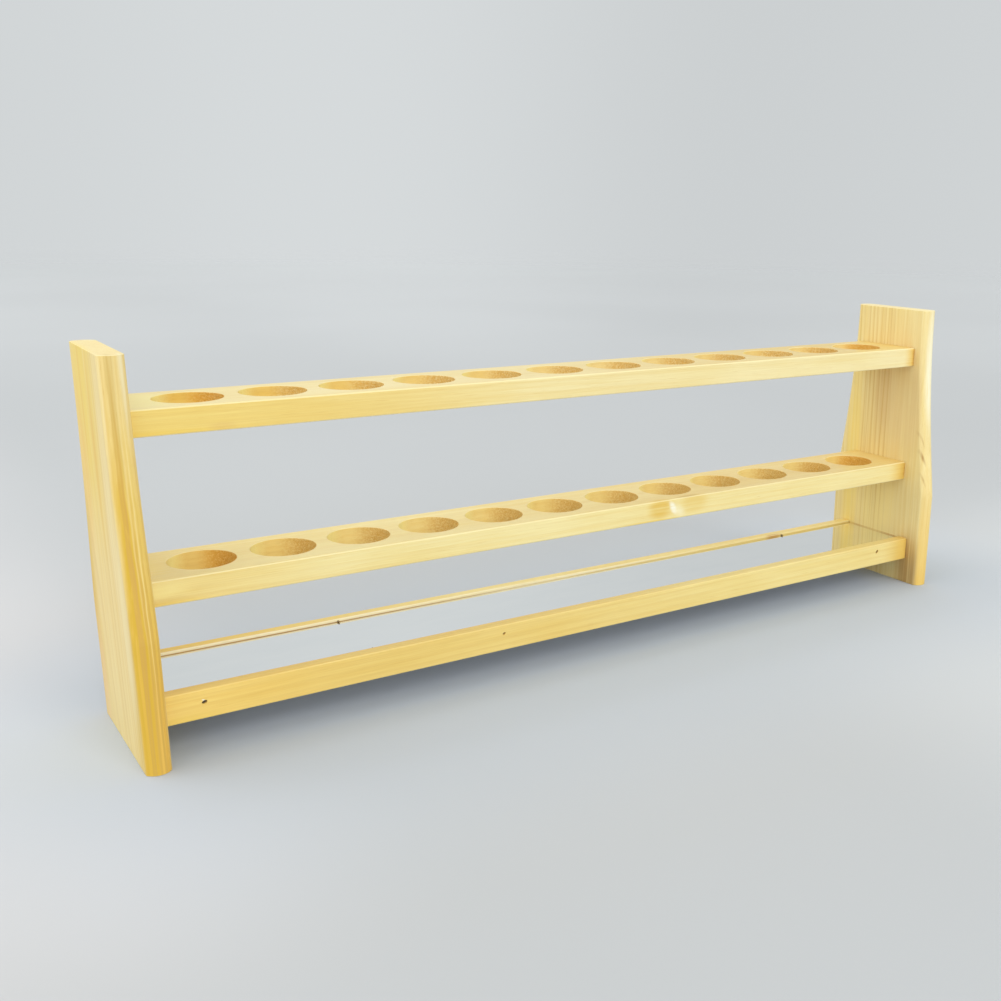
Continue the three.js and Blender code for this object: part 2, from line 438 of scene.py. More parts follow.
def mirror_finish():
    """Silvered glass with the faint haze that a wiped mirror keeps."""
    s = Shader("silvered_glass")
    axes = s.axes()
    wiped = s.noise(s.scaled(axes, 22.0, 60.0, 1.0), 4.0, 0.6, 2.0)
    specks = s.noise(s.scaled(axes, 900.0, 900.0, 900.0), 1.0, 0.5, 4.0)
    haze = s.spread(wiped, 0.45, 0.75, 0.012, 0.05)
    s.put(s.surface.inputs["Roughness"], s.math("ADD", haze, s.spread(specks, 0.74, 0.8, 0.0, 0.25)))
    s.put(s.surface.inputs["Base Color"], s.mix(s.spread(wiped, 0.35, 0.7), CLEAR_MIRROR, WIPED_MIRROR))
    s.put(s.surface.inputs["Metallic"], 1.0)
    return s.material


def nail_finish():
    """Drawn wire, dark by the left nails and browned in the varnish further on."""
    s = Shader("nail_steel")
    axes = s.axes()
    stain = s.noise(s.scaled(axes, 1400.0, 1400.0, 1400.0), 3.0, 0.6, 7.0)
    dull = s.mix(s.spread(axes[0], -0.19, -0.14), DARK_STEEL, BROWNED_STEEL)
    colour = s.mix(s.spread(stain, 0.35, 0.65), dull, s.mix(0.4, dull, RUST))
    s.put(s.surface.inputs["Base Color"], colour)
    s.put(s.surface.inputs["Metallic"], 0.4)
    s.put(s.surface.inputs["Roughness"], s.spread(stain, 0.3, 0.7, 0.45, 0.65))
    s.put(s.surface.inputs["Normal"], s.bump(stain, 0.0001, 0.6))
    return s.material


# ---------------------------------------------------------------- mesh helpers

SHARP_ANGLE = math.radians(35)
LARGEST_FACE_WINS = 100


def add_object(name, mesh_maker, material, ease=0.0, ease_angle=40.0, steps=3):
    """An object whose mesh is made by mesh_maker, with its edges eased by a small round."""
    bm = bmesh.new()
    mesh_maker(bm)
    bmesh.ops.recalc_face_normals(bm, faces=bm.faces)
    for face in bm.faces:
        face.smooth = True
    mesh = bpy.data.meshes.new(name)
    bm.to_mesh(mesh)
    bm.free()
    mesh.materials.append(material)
    obj = bpy.data.objects.new(name, mesh)
    bpy.context.scene.collection.objects.link(obj)
    if ease:
        bevel = obj.modifiers.new("eased_edges", "BEVEL")
        bevel.width = ease
        bevel.segments = steps
        bevel.limit_method = "ANGLE"
        bevel.angle_limit = math.radians(ease_angle)
        bevel.miter_outer = "MITER_ARC"
    return obj


def settle(piece):
    """Makes the eased edges real, keeps square corners crisp and large flat faces flat."""
    graph = bpy.context.evaluated_depsgraph_get()
    mesh = bpy.data.meshes.new_from_object(piece.evaluated_get(graph), depsgraph=graph)
    piece.modifiers.clear()
    piece.data = mesh
    mesh.set_sharp_from_angle(angle=SHARP_ANGLE)
    weighted = piece.modifiers.new("level_faces", "WEIGHTED_NORMAL")
    weighted.weight = LARGEST_FACE_WINS
    weighted.keep_sharp = True


def fix(piece, node):
    """Settles a piece's mesh and puts the piece in the place of its node."""
    settle(piece)
    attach(piece, "root")
    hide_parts(node)


def join_rings(bm, rings):
    """A band of faces between each ring of vertices and the next."""
    for near, far in zip(rings, rings[1:]):
        for k in range(len(near)):
            after = (k + 1) % len(near)
            bm.faces.new((near[k], near[after], far[after], far[k]))


def block(bm, low, high, cuts=0):
    """A box from low to high, cut into lengths along X."""
    lengths = cuts + 1
    rings = []
    for i in range(lengths + 1):
        x = low[0] + (high[0] - low[0]) * i / lengths
        corners = ((low[1], low[2]), (high[1], low[2]), (high[1], high[2]), (low[1], high[2]))
        rings.append([bm.verts.new((x, y, z)) for y, z in corners])
    bm.faces.new(rings[0])
    bm.faces.new(rings[-1])
    join_rings(bm, rings)


def cut_out(piece, tools):
    """Cuts each tool out of the piece and keeps the result in the piece's mesh."""
    for i, tool in enumerate(tools):
        boolean = piece.modifiers.new(f"cut_{i}", "BOOLEAN")
        boolean.operation = "DIFFERENCE"
        boolean.solver = "EXACT"
        boolean.object = tool
    graph = bpy.context.evaluated_depsgraph_get()
    mesh = bpy.data.meshes.new_from_object(piece.evaluated_get(graph), depsgraph=graph)
    piece.modifiers.clear()
    piece.data = mesh
    for tool in tools:
        bpy.data.objects.remove(tool)


def box_tool(low, high):
    """A box to cut out of a piece, from low to high."""
    return add_object("tool", lambda bm: block(bm, low, high), wood["base_board"])


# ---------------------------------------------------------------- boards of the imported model

END_LOW, END_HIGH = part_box("left_end_board")
RIGHT_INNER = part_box("right_end_board")[0].x
SHELF_LOW, SHELF_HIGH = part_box("top_shelf")
MIDDLE_LOW, MIDDLE_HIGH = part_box("middle_shelf")
BASE_LOW, BASE_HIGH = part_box("base_board")
RAIL_LOW, RAIL_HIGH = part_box("front_rail")
REAR_RAIL_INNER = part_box("rear_rail")[0].y

# ---------------------------------------------------------------- the wood of each board

LEFT_EARLY = (0.94, 0.77, 0.38)
RIGHT_EARLY = (0.96, 0.81, 0.42)
TOP_EARLY = (0.955, 0.845, 0.49)
MIDDLE_EARLY = (0.95, 0.83, 0.43)
RAIL_EARLY = (0.945, 0.79, 0.35)
PALE = (0.97, 0.88, 0.58)
CREAM = (0.98, 0.93, 0.68)
ORANGE = (0.97, 0.85, 0.48)
HONEY = (0.955, 0.87, 0.69)
LIGHTER = (1.09, 1.04, 0.90)
# The next two tints are painted shade that darkens the tops of the shelves toward +X.
TOP_SHELF_SHADE = (0.89, 0.79, 0.57)
MIDDLE_SHELF_SHADE = (0.94, 0.87, 0.77)
END_STAIN = (0.90, 0.73, 0.38)
AMBER_WOOD = (0.88, 0.62, 0.13)
DARK_LINE = (0.66, 0.40, 0.09)
FLAME_BROWN = (0.48, 0.25, 0.07)
BROWN = (0.55, 0.24, 0.05)
NOSE_LINE_DEPTH = 0.021


def spot(at, size, colour, strength, lean=0.0, core=0.3, both=False):
    """A local colour: its middle and half sizes, how strong it is, how far it leans in radians, the share
    of it that has the full strength, and whether it is on both sides of the board."""
    return {
        "at": at,
        "size": size,
        "colour": colour,
        "strength": strength,
        "lean": lean,
        "core": core,
        "both": both,
    }


def nose_line(x, half_width, colour, strength, z=0.09, reach=0.12):
    """A straight line of darker or paler wood up the left board's two noses."""
    return spot((x, END_HIGH.y, z), (half_width, NOSE_LINE_DEPTH, reach), colour, strength, both=True)


LEFT_MARKS = [
    nose_line(-0.2397, 0.0010, PALE, 0.50, 0.16, 0.10),
    nose_line(-0.2345, 0.0090, (0.83, 0.60, 0.11), 0.60, 0.10, 0.09),
    nose_line(-0.2375, 0.0055, (0.70, 0.44, 0.05), 0.90, 0.06, 0.15),
    nose_line(-0.2366, 0.0022, (0.68, 0.42, 0.05), 0.65, 0.085, 0.085),
    nose_line(-0.2360, 0.0030, (0.64, 0.46, 0.15), 0.85, 0.16, 0.06),
    nose_line(-0.2315, 0.0022, CREAM, 0.60, 0.175, 0.045),
    nose_line(-0.2372, 0.0008, DARK_LINE, 0.90, 0.08, 0.15),
    nose_line(-0.2362, 0.0008, DARK_LINE, 1.00, 0.09, 0.16),
    nose_line(-0.2340, 0.0009, DARK_LINE, 0.75, 0.05, 0.12),
    nose_line(-0.2347, 0.0006, PALE, 0.20, 0.13, 0.10),
    nose_line(-0.2331, 0.0005, PALE, 0.25, 0.11, 0.12),
    nose_line(-0.2322, 0.0008, DARK_LINE, 0.70, 0.04, 0.12),
    nose_line(-0.2313, 0.0009, PALE, 0.60, 0.17, 0.05),
    nose_line(-0.2303, 0.0005, DARK_LINE, 0.40, 0.07, 0.12),
    spot((END_LOW.x, 0.0060, 0.160), (0.003, 0.0340, 0.095), (0.91, 0.68, 0.15), 0.80, 0.0, 0.15),
    spot((END_LOW.x, 0.0110, 0.150), (0.003, 0.0030, 0.060), (0.86, 0.58, 0.13), 0.75, 0.0, 0.0),
    spot((END_LOW.x, -0.0045, 0.135), (0.003, 0.0050, 0.060), (0.84, 0.56, 0.14), 0.80, 0.0, 0.0),
    spot((END_LOW.x, 0.0210, 0.122), (0.003, 0.0110, 0.050), (0.88, 0.58, 0.16), 0.60),
    spot((END_LOW.x, -0.0130, 0.105), (0.003, 0.0014, 0.060), DARK_LINE, 0.20),
    spot((END_LOW.x, -0.0200, 0.120), (0.003, 0.0080, 0.080), PALE, 0.30),
    spot((END_LOW.x, -0.0290, 0.065), (0.003, 0.0080, 0.060), PALE, 0.45),
    spot((END_LOW.x, 0.0330, 0.010), (0.003, 0.0100, 0.060), (0.95, 0.68, 0.40), 0.45),
]
# where the right board's dark lines are along Y, and how strong they are
RIGHT_LINES = [
    (0.0168, 0.45),
    (0.0132, 0.50),
    (0.0096, 0.45),
    (0.0052, 0.35),
    (0.0010, 0.60),
    (-0.0029, 0.40),
]
RIGHT_MARKS = [
    spot((0.2303, -0.0325, 0.0950), (0.0007, 0.006, 0.0085), FLAME_BROWN, 0.45, 0.24, 0.1),
    spot((0.2305, -0.0350, 0.0835), (0.0010, 0.006, 0.0080), (0.44, 0.21, 0.06), 0.75, 0.24, 0.1),
    spot((0.2303, -0.0378, 0.0700), (0.0007, 0.006, 0.0070), FLAME_BROWN, 0.45, 0.24, 0.1),
    spot((0.2355, -0.0310, 0.1400), (0.0050, 0.007, 0.0600), CREAM, 0.80),
    spot((RIGHT_INNER, 0.0000, 0.0286), (0.0020, 0.025, 0.0005), BROWN, 0.80, 0.0, 0.7),
    # painted shade: the inner face is darkened below the top shelf
    spot((RIGHT_INNER, -0.0150, 0.1200), (0.0020, 0.035, 0.0550), (0.78, 0.56, 0.28), 0.45),
    spot((RIGHT_INNER, 0.0000, 0.1180), (0.0020, 0.012, 0.0300), (0.74, 0.52, 0.24), 0.45),
    spot((RIGHT_INNER, 0.0020, 0.0480), (0.0020, 0.026, 0.0400), (1.00, 0.82, 0.35), 0.95),
    # painted shade: the inner face is darkened at the front of the foot
    spot((RIGHT_INNER, -0.0310, 0.0080), (0.0020, 0.0150, 0.0360), (0.52, 0.31, 0.10), 0.95, 0.0, 0.2),
    *[
        spot((RIGHT_INNER, y, 0.1000), (0.0030, 0.0009, 0.1300), DARK_LINE, strength, 0.0, 0.0)
        for y, strength in RIGHT_LINES
    ],
    spot((RIGHT_INNER, 0.0240, 0.0600), (0.0020, 0.0085, 0.1100), (0.98, 0.74, 0.18), 0.60),
]
TOP_SHELF_MARKS = [
    spot((-0.2290, SHELF_LOW.y, 0.1388), (0.0600, 0.004, 0.0045), AMBER_WOOD, 0.75),
    spot((-0.1930, SHELF_LOW.y, 0.1412), (0.0080, 0.004, 0.0022), (0.76, 0.50, 0.16), 0.45),
    # painted light: the left end of the top face is lightened where the left board shades it
    spot((-0.2250, 0.0000, SHELF_HIGH.z), (0.0250, 0.030, 0.0014), (1.00, 0.90, 0.38), 0.70, 0.0, 0.4),
    spot((0.2298, -0.0200, 0.1449), (0.0034, 0.004, 0.0120), BROWN, 0.95, 0.0, 0.2),
]
MIDDLE_SHELF_MARKS = [
    spot((0.0355, SHELF_LOW.y, 0.0745), (0.0110, 0.006, 0.0085), (0.79, 0.52, 0.10), 0.90),
    spot((0.0300, SHELF_LOW.y, 0.0668), (0.0300, 0.004, 0.0022), AMBER_WOOD, 0.80),
    spot((0.0590, SHELF_LOW.y, 0.0750), (0.0135, 0.006, 0.0080), (0.82, 0.59, 0.17), 0.75),
    spot((0.0550, -0.0205, MIDDLE_HIGH.z), (0.0110, 0.002, 0.0014), (0.62, 0.42, 0.13), 0.70),
    spot((0.0480, SHELF_LOW.y, 0.0715), (0.0075, 0.004, 0.0045), CREAM, 0.55, -0.60, 0.0),
    spot((0.0440, SHELF_LOW.y, 0.0738), (0.0055, 0.004, 0.0026), (1.00, 0.97, 0.80), 0.95, -1.00, 0.2),
    spot((-0.2290, SHELF_LOW.y, 0.0668), (0.0500, 0.004, 0.0030), AMBER_WOOD, 0.60),
    # partly the wood's amber, partly painted light: the left end of the top face is lightened where the left
    # board shades it
    spot((-0.2270, 0.0000, MIDDLE_HIGH.z), (0.0170, 0.032, 0.0014), (0.99, 0.81, 0.27), 0.75, 0.0, 0.0),
    spot((-0.2270, SHELF_LOW.y, 0.0740), (0.0200, 0.004, 0.0050), (1.00, 0.86, 0.36), 0.60),
    spot((0.2298, SHELF_LOW.y, 0.0728), (0.0024, 0.003, 0.0090), BROWN, 0.60, 0.0, 0.1),
]
FRONT_RAIL_MARKS = [
    spot((-0.2290, RAIL_LOW.y, 0.0160), (0.0350, 0.004, 0.0050), AMBER_WOOD, 0.65),
    spot((0.2290, RAIL_LOW.y, 0.0228), (0.0130, 0.010, 0.0110), (0.86, 0.60, 0.16), 0.60),
    spot((0.2298, RAIL_LOW.y, 0.0220), (0.0018, 0.003, 0.0120), BROWN, 0.65),
    # painted highlight on the lip of the left nail's punch mark
    spot((-0.2125, RAIL_LOW.y, 0.0247), (0.0011, 0.002, 0.0005), (0.96, 0.90, 0.70), 0.85, -0.5),
    spot((0.2120, -0.0245, RAIL_HIGH.z), (0.0250, 0.006, 0.0014), (0.80, 0.62, 0.25), 0.50),
    spot((-0.1000, -0.0225, RAIL_HIGH.z), (0.1500, 0.0035, 0.0012), (0.86, 0.60, 0.22), 0.45, 0.0, 0.4),
]
REAR_RAIL_MARKS = [
    spot((0.1600, REAR_RAIL_INNER, 0.0292), (0.0080, 0.003, 0.0016), BROWN, 0.70, 0.0, 0.4),
    # painted light: the rear rail's inner face above the mirror is painted bright cream
    spot((-0.1200, REAR_RAIL_INNER, 0.0292), (0.2600, 0.002, 0.0012), (1.00, 0.94, 0.72), 0.85, 0.0, 0.5),
    spot((-0.1600, REAR_RAIL_INNER, 0.0283), (0.1700, 0.002, 0.0005), (0.58, 0.32, 0.09), 0.85, 0.0, 0.4),
]

wood = {
    "left_end_board": pine(
        "pine_left_end", "Z", (0.035, -0.085), (0.01, 0.02), 0.0016, 3.0, LEFT_EARLY, contrast=0.32,
        wander=0.002, end_share=0.40, end_colour=PALE, gloss=0.05, spots=LEFT_MARKS, nose_amber=0.165,
    ),
    "right_end_board": pine(
        "pine_right_end", "Z", (0.20, 0.30), (0.02, 0.015), 0.0033, 11.0, RIGHT_EARLY, contrast=0.50,
        wander=0.002, end_share=0.40, end_colour=PALE, gloss=0.10, calm=("y", 0.002, -0.012),
        spots=RIGHT_MARKS, nose_amber=0.10,
    ),
    "top_shelf": pine(
        "pine_top_shelf", "X", (0.05, 0.06), (0.01, 0.01), 0.0045, 21.0, TOP_EARLY, contrast=0.12,
        fades=(("x", 0.04, -0.24, ORANGE), ("x", 0.2195, 0.2295, END_STAIN)), spots=TOP_SHELF_MARKS,
        painted_top_shade=TOP_SHELF_SHADE, bored=True,
    ),
    "middle_shelf": pine(
        "pine_middle_shelf", "X", (-0.05, -0.04), (0.008, -0.01), 0.0045, 33.0, MIDDLE_EARLY, contrast=0.12,
        fades=(("x", -0.12, -0.26, HONEY), ("x", 0.214, 0.2295, END_STAIN)), spots=MIDDLE_SHELF_MARKS,
        painted_top_shade=MIDDLE_SHELF_SHADE, bored=True,
    ),
    "front_rail": pine(
        "pine_front_rail", "X", (0.03, -0.06), (0.01, 0.012), 0.0036, 45.0, RAIL_EARLY, contrast=0.12,
        fades=(("x", 0.08, -0.06, HONEY), ("x", -0.12, -0.24, LIGHTER), ("x", 0.205, 0.2295, END_STAIN)),
        spots=FRONT_RAIL_MARKS, sanding_and_highlight=0.15,
    ),
    "rear_rail": pine(
        "pine_rear_rail", "X", (0.06, -0.06), (0.01, 0.012), 0.0036, 57.0, RAIL_EARLY, contrast=0.12,
        fades=(("x", -0.05, -0.24, ORANGE),), spots=REAR_RAIL_MARKS,
    ),
    "base_board": pine(
        "pine_base", "X", (0.01, -0.03), (0.01, 0.012), 0.0036, 69.0, (0.42, 0.38, 0.30),
        late=(0.28, 0.22, 0.15), contrast=0.7,
    ),
}
glass = mirror_finish()
steel = nail_finish()

# ---------------------------------------------------------------- end boards

END_THICKNESS = END_HIGH.x - END_LOW.x
FOOT_FLAT = 36.8 * MM
TOP_FLAT = 25.8 * MM
SHOULDER = 58 * MM
SWEEP = ((33.2 * MM, 85 * MM), (26.2 * MM, 122 * MM))
NOSE = END_HIGH.y - FOOT_FLAT
HOUSING_GAP = 0.02 * MM
END_EASE, END_EASE_ANGLE = 0.35 * MM, 24.0
HOUSED = ((SHELF_LOW, SHELF_HIGH), (MIDDLE_LOW, MIDDLE_HIGH), (BASE_LOW, BASE_HIGH))


def end_profile(steps=44):
    """(half depth, height) from the foot to the top of an end board."""
    ends = [Vector((FOOT_FLAT, SHOULDER)), *[Vector(p) for p in SWEEP], Vector((TOP_FLAT, END_HIGH.z))]
    profile = [(FOOT_FLAT, 0.0), (FOOT_FLAT, SHOULDER / 3), (FOOT_FLAT, SHOULDER * 2 / 3)]
    for i in range(steps + 1):
        t = i / steps
        u = 1 - t
        point = ends[0] * u**3 + ends[1] * 3 * u * u * t + ends[2] * 3 * u * t * t + ends[3] * t**3
        profile.append((point.x, point.y))
    return profile


def end_ring(half_depth, middle_x, steps=20):
    """The board's outline at one level: flat faces and two shallow rounded noses."""
    half = END_THICKNESS / 2
    radius = (half**2 + NOSE**2) / (2 * NOSE)
    spread = math.asin(half / radius)
    ring = []
    for facing in (1, -1):
        for i in range(steps + 1):
            angle = spread * (2 * i / steps - 1)
            x = middle_x - facing * radius * math.sin(angle)
            y = facing * (half_depth + NOSE - radius + radius * math.cos(angle))
            ring.append((x, y))
    return ring


def end_board(name, node, side):
    """An upright board with housings for the shelves and the base in its inner face."""
    low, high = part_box(node)
    middle = (low.x + high.x) / 2

    def make(bm):
        rings = []
        for half_depth, height in end_profile():
            rings.append([bm.verts.new((x, y, height)) for x, y in end_ring(half_depth, middle)])
        join_rings(bm, rings)
        bm.faces.new(list(reversed(rings[0])))
        bm.faces.new(rings[-1])

    board = add_object(name, make, wood[node], END_EASE, END_EASE_ANGLE)
    inner = low.x if side > 0 else high.x
    spare = Vector((0, HOUSING_GAP, HOUSING_GAP))
    pockets = []
    for shelf_low, shelf_high in HOUSED:
        reach = shelf_high.x - abs(inner) + HOUSING_GAP
        pocket_low = Vector((inner - reach, shelf_low.y, shelf_low.z)) - spare
        pocket_high = Vector((inner + reach, shelf_high.y, shelf_high.z)) + spare
        pockets.append(box_tool(pocket_low, pocket_high))
    cut_out(board, pockets)
    fix(board, node)


end_board("end_board_left", "left_end_board", -1)
end_board("end_board_right", "right_end_board", 1)

# ---------------------------------------------------------------- shelves

HOLES = [o for o in frame["record"]["physics"]["openings"] if o["name"].startswith("top_shelf")]
HOLE_XS = sorted((o["box_m"][0][0] + o["box_m"][1][0]) / 2 for o in HOLES)
HOLE_RADIUS = 14.65 * MM
PITCH = HOLE_XS[1] - HOLE_XS[0]
SHELF_EASE = 0.8 * MM
RIM_EASE = 0.3 * MM
AROUND = 96
WALL_CUTS = 14
SAME = 1e-7
NEAR = 1e-6
TEAR_DEPTH = 0.45 * MM
TEAR_MARGIN = 1.2 * MM
TEAR_FROM = 0.45
TEARS_ALONG, TEARS_ACROSS = 500, 1300
FINER, FINER_SHARE = 2.7, 0.25


def hole_cell(bm, middle_x, half_depth, top):
    """A square of the shelf's top face round one hole."""
    half_pitch = PITCH / 2
    inner, outer = [], []
    for k in range(AROUND):
        angle = 2 * math.pi * k / AROUND
        c, s = math.cos(angle), math.sin(angle)
        reach = min(half_pitch / max(abs(c), SAME), half_depth / max(abs(s), SAME))
        inner.append(Vector((HOLE_RADIUS * c, HOLE_RADIUS * s)))
        outer.append(Vector((reach * c, reach * s)))
    for corner in [Vector((i * half_pitch, j * half_depth)) for i in (-1, 1) for j in (-1, 1)]:
        nearest = min(range(AROUND), key=lambda k: (outer[k] - corner).length)
        outer[nearest] = corner
    rim = [bm.verts.new((middle_x + p.x, p.y, top)) for p in inner]
    edge = [bm.verts.new((middle_x + p.x, p.y, top)) for p in outer]
    for k in range(AROUND):
        after = (k + 1) % AROUND
        bm.faces.new((rim[k], edge[k], edge[after], rim[after]))


def shelf_ends(bm, low, high):
    """The solid strips between the outer holes and the shelf's two ends."""
    for side, end in ((-1, low.x), (1, high.x)):
        near = HOLE_XS[0 if side < 0 else -1] + side * PITCH / 2
        line = sorted({round(v.co.y, 8) for v in bm.verts if abs(v.co.x - near) < SAME})
        inner = [bm.verts.new((near, y, high.z)) for y in line]
        outer = [bm.verts.new((end, y, high.z)) for y in line]
        for k in range(len(line) - 1):
            bm.faces.new((inner[k], inner[k + 1], outer[k + 1], outer[k]))


def nearest_hole(x):
    return min(HOLE_XS, key=lambda middle: abs(middle - x))


def level_edge(edge):
    return abs(edge.verts[0].co.z - edge.verts[1].co.z) < SAME


def shelf_mesh(low, high, seed):
    """Returns the maker of a shelf with its holes, eased edges and torn end grain."""

    def make(bm):
        for middle in HOLE_XS:
            hole_cell(bm, middle, high.y, high.z)
        shelf_ends(bm, low, high)
        bmesh.ops.remove_doubles(bm, verts=bm.verts, dist=NEAR)
        made = bmesh.ops.extrude_face_region(bm, geom=bm.faces[:])
        for v in [g for g in made["geom"] if isinstance(g, bmesh.types.BMVert)]:
            v.co.z = low.z

        def on_wall(v):
            return math.hypot(v.co.x - nearest_hole(v.co.x), v.co.y) < HOLE_RADIUS + NEAR

        upright = [e for e in bm.edges if not level_edge(e) and all(on_wall(v) for v in e.verts)]
        bmesh.ops.subdivide_edges(bm, edges=upright, cuts=WALL_CUTS)
        ease_shelf_edges(bm, low, high, on_wall)
        tear_holes(bm, low, high, on_wall, seed)

    return make


def ease_shelf_edges(bm, low, high, on_wall):
    """Weights for the bevel: the long edges are well rounded and the hole rims are only just broken."""
    weight = bm.edges.layers.float.new("bevel_weight_edge")
    for e in bm.edges:
        a, b = e.verts[0].co, e.verts[1].co
        on_face = min(abs(a.z - low.z), abs(a.z - high.z)) < SAME
        if not (on_face and level_edge(e)):
            continue
        if abs(abs(a.y) - high.y) < SAME and abs(abs(b.y) - high.y) < SAME:
            e[weight] = 1.0
        elif all(on_wall(v) for v in e.verts):
            e[weight] = RIM_EASE / SHELF_EASE


def tear_holes(bm, low, high, on_wall, seed):
    """The drill tears the fibres where it meets them end on, so those parts of each wall have pits."""
    for v in bm.verts:
        if not on_wall(v) or not low.z + NEAR < v.co.z < high.z - NEAR:
            continue
        out = Vector((v.co.x - nearest_hole(v.co.x), v.co.y, 0)).normalized()
        end_on = max(0.0, (abs(out.x) - TEAR_FROM) / (1 - TEAR_FROM))
        place = Vector((v.co.x * TEARS_ALONG, v.co.y * TEARS_ACROSS + seed, v.co.z * TEARS_ACROSS))
        pit = max(0.0, noise.noise(place) + FINER_SHARE * noise.noise(place * FINER))
        inside = min(1.0, (high.z - v.co.z) / TEAR_MARGIN, (v.co.z - low.z) / TEAR_MARGIN)
        v.co += out * pit * end_on * inside * TEAR_DEPTH


def shelf(name, node, seed):
    low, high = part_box(node)
    board = add_object(name, shelf_mesh(low, high, seed), wood[node], SHELF_EASE)
    board.modifiers["eased_edges"].limit_method = "WEIGHT"
    fix(board, node)


shelf("shelf_top", "top_shelf", 3.1)
shelf("shelf_middle", "middle_shelf", 8.7)

# ---------------------------------------------------------------- nails and sprigs

NAIL_SLANT = math.radians(32)
NAIL_SIZES = (0.92, 0.66, 1.0)
NAIL_TURN = 0.3
NAIL_OVAL = (1.2, 0.78)
NAIL_SUNK = 0.25 * MM
DRIVEN_GAP = 0.05 * MM
SPRIG_AROUND = 16
SPRIG_SET_BACK = {"front": 1.0 * MM, "rear": 0.6 * MM}
NAIL_NODES = {rail: [f"{rail}_rail_nail_{i}" for i in (1, 2, 3)] for rail in ("front", "rear")}
SPRIG_NODES = {rail: [f"{rail}_mirror_sprig_{i}" for i in (1, 2)] for rail in ("front", "rear")}


def turned(bm, profile, place, facing, oval=(1.0, 1.0), slant=0.0, around=24):
    """A round or oval body along Y. profile lists distances from the end at place, and radii."""
    wide, narrow = oval
    rings = []
    for distance, radius in profile:
        ring = []
        for k in range(around):
            angle = 2 * math.pi * k / around
            across, up = radius * wide * math.cos(angle), radius * narrow * math.sin(angle)
            x = across * math.cos(slant) - up * math.sin(slant)
            z = across * math.sin(slant) + up * math.cos(slant)
            ring.append(bm.verts.new((place.x + x, place.y + facing * distance, place.z + z)))
        rings.append(ring)
    bm.faces.new(rings[0])
    bm.faces.new(rings[-1])
    join_rings(bm, rings)


def nail_profile(length, size, grow=0.0):
    """A nail's outline from its domed head to its point, or the hole round it where grow is more than 0."""
    head, shank = size * MM + grow, 0.45 * MM + grow
    return [
        (0.0, 0.72 * head),
        (0.12 * MM, 0.93 * head),
        (0.3 * MM, head),
        (0.75 * MM + grow, 0.8 * head),
        (1.1 * MM + grow, shank),
        (length - 2 * MM, shank),
        (length, 0.1 * MM + grow),
    ]


def nail_places(rail, facing):
    """Each nail of a rail: its node, its sunk head's place, its length, its head's size and its slant."""
    for i, node in enumerate(NAIL_NODES[rail]):
        low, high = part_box(node)
        front = (low.y if facing > 0 else high.y) + facing * NAIL_SUNK
        place = Vector(((low.x + high.x) / 2, front, (low.z + high.z) / 2))
        yield node, place, high.y - low.y - NAIL_SUNK, NAIL_SIZES[i], NAIL_SLANT + NAIL_TURN * (i - 1)


def add_nails(rail, facing):
    for i, (node, place, length, size, slant) in enumerate(nail_places(rail, facing), 1):

        def make(bm):
            turned(bm, nail_profile(length, size), place, facing, NAIL_OVAL, slant)

        fix(add_object(f"nail_{rail}_{i}", make, steel), node)


def nail_tools(rail, facing):
    """A slanted punch mark over each nail's head, and the nail's own hole behind it."""
    tools = []
    for _, place, length, size, slant in nail_places(rail, facing):
        hole = nail_profile(length, size, DRIVEN_GAP)
        rim = (size + 0.12) * MM
        mouth = [(-2 * MM, rim), (-0.66 * MM, rim), (-0.3 * MM, (size + 0.06) * MM)]

        def make(bm):
            turned(bm, mouth + hole[2:], place, facing, NAIL_OVAL, slant)

        tools.append(add_object("tool", make, steel))
    return tools


def sprig_tools(rail):
    """The holes that the sprigs are driven into."""
    tools = []
    for node in SPRIG_NODES[rail]:
        low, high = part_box(node)
        radius = (high.z - low.z) / 2 + DRIVEN_GAP
        place = Vector(((low.x + high.x) / 2, low.y - DRIVEN_GAP, (low.z + high.z) / 2))
        profile = [(0.0, radius), (high.y - low.y + 2 * DRIVEN_GAP, radius)]

        def make(bm):
            turned(bm, profile, place, 1, around=SPRIG_AROUND)

        tools.append(add_object("tool", make, steel))
    return tools


def add_sprigs(rail, facing):
    """Headless pins, driven into the rail and standing out over the mirror."""
    for i, node in enumerate(SPRIG_NODES[rail], 1):
        low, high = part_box(node)
        back = SPRIG_SET_BACK[rail]
        radius, length = (high.z - low.z) / 2, high.y - low.y - back
        front = low.y + back if facing > 0 else high.y - back
        place = Vector(((low.x + high.x) / 2, front, (low.z + high.z) / 2))
        tip = [(length - 1.5 * MM, 0.85 * radius), (length, 0.2 * radius)]
        profile = [(0.0, 0.6 * radius), (0.1 * MM, radius), *tip]

        def make(bm):
            turned(bm, profile, place, facing, around=SPRIG_AROUND)

        fix(add_object(f"sprig_{rail}_{i}", make, steel), node)


# ---------------------------------------------------------------- base


RAIL_EASE, BASE_EASE, MIRROR_EASE = 0.7 * MM, 0.4 * MM, 0.1 * MM
MIRROR_INSET = Vector((0.02 * MM, 0.05 * MM, 0))
STRIP_CUTS, MIRROR_CUTS = 11, 3


def strip(name, node, ease, tools):
    """A plain strip with holes for what is driven into it."""
    low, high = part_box(node)
    piece = add_object(name, lambda bm: block(bm, low, high, STRIP_CUTS), wood[node], ease)
    cut_out(piece, tools)
    fix(piece, node)


strip("rail_front", "front_rail", RAIL_EASE, nail_tools("front", 1) + sprig_tools("front"))
strip("rail_rear", "rear_rail", RAIL_EASE, nail_tools("rear", -1) + sprig_tools("rear"))
strip("base", "base_board", BASE_EASE, nail_tools("front", 1) + nail_tools("rear", -1))
for rail, facing in (("front", 1), ("rear", -1)):
    add_nails(rail, facing)
    add_sprigs(rail, -facing)


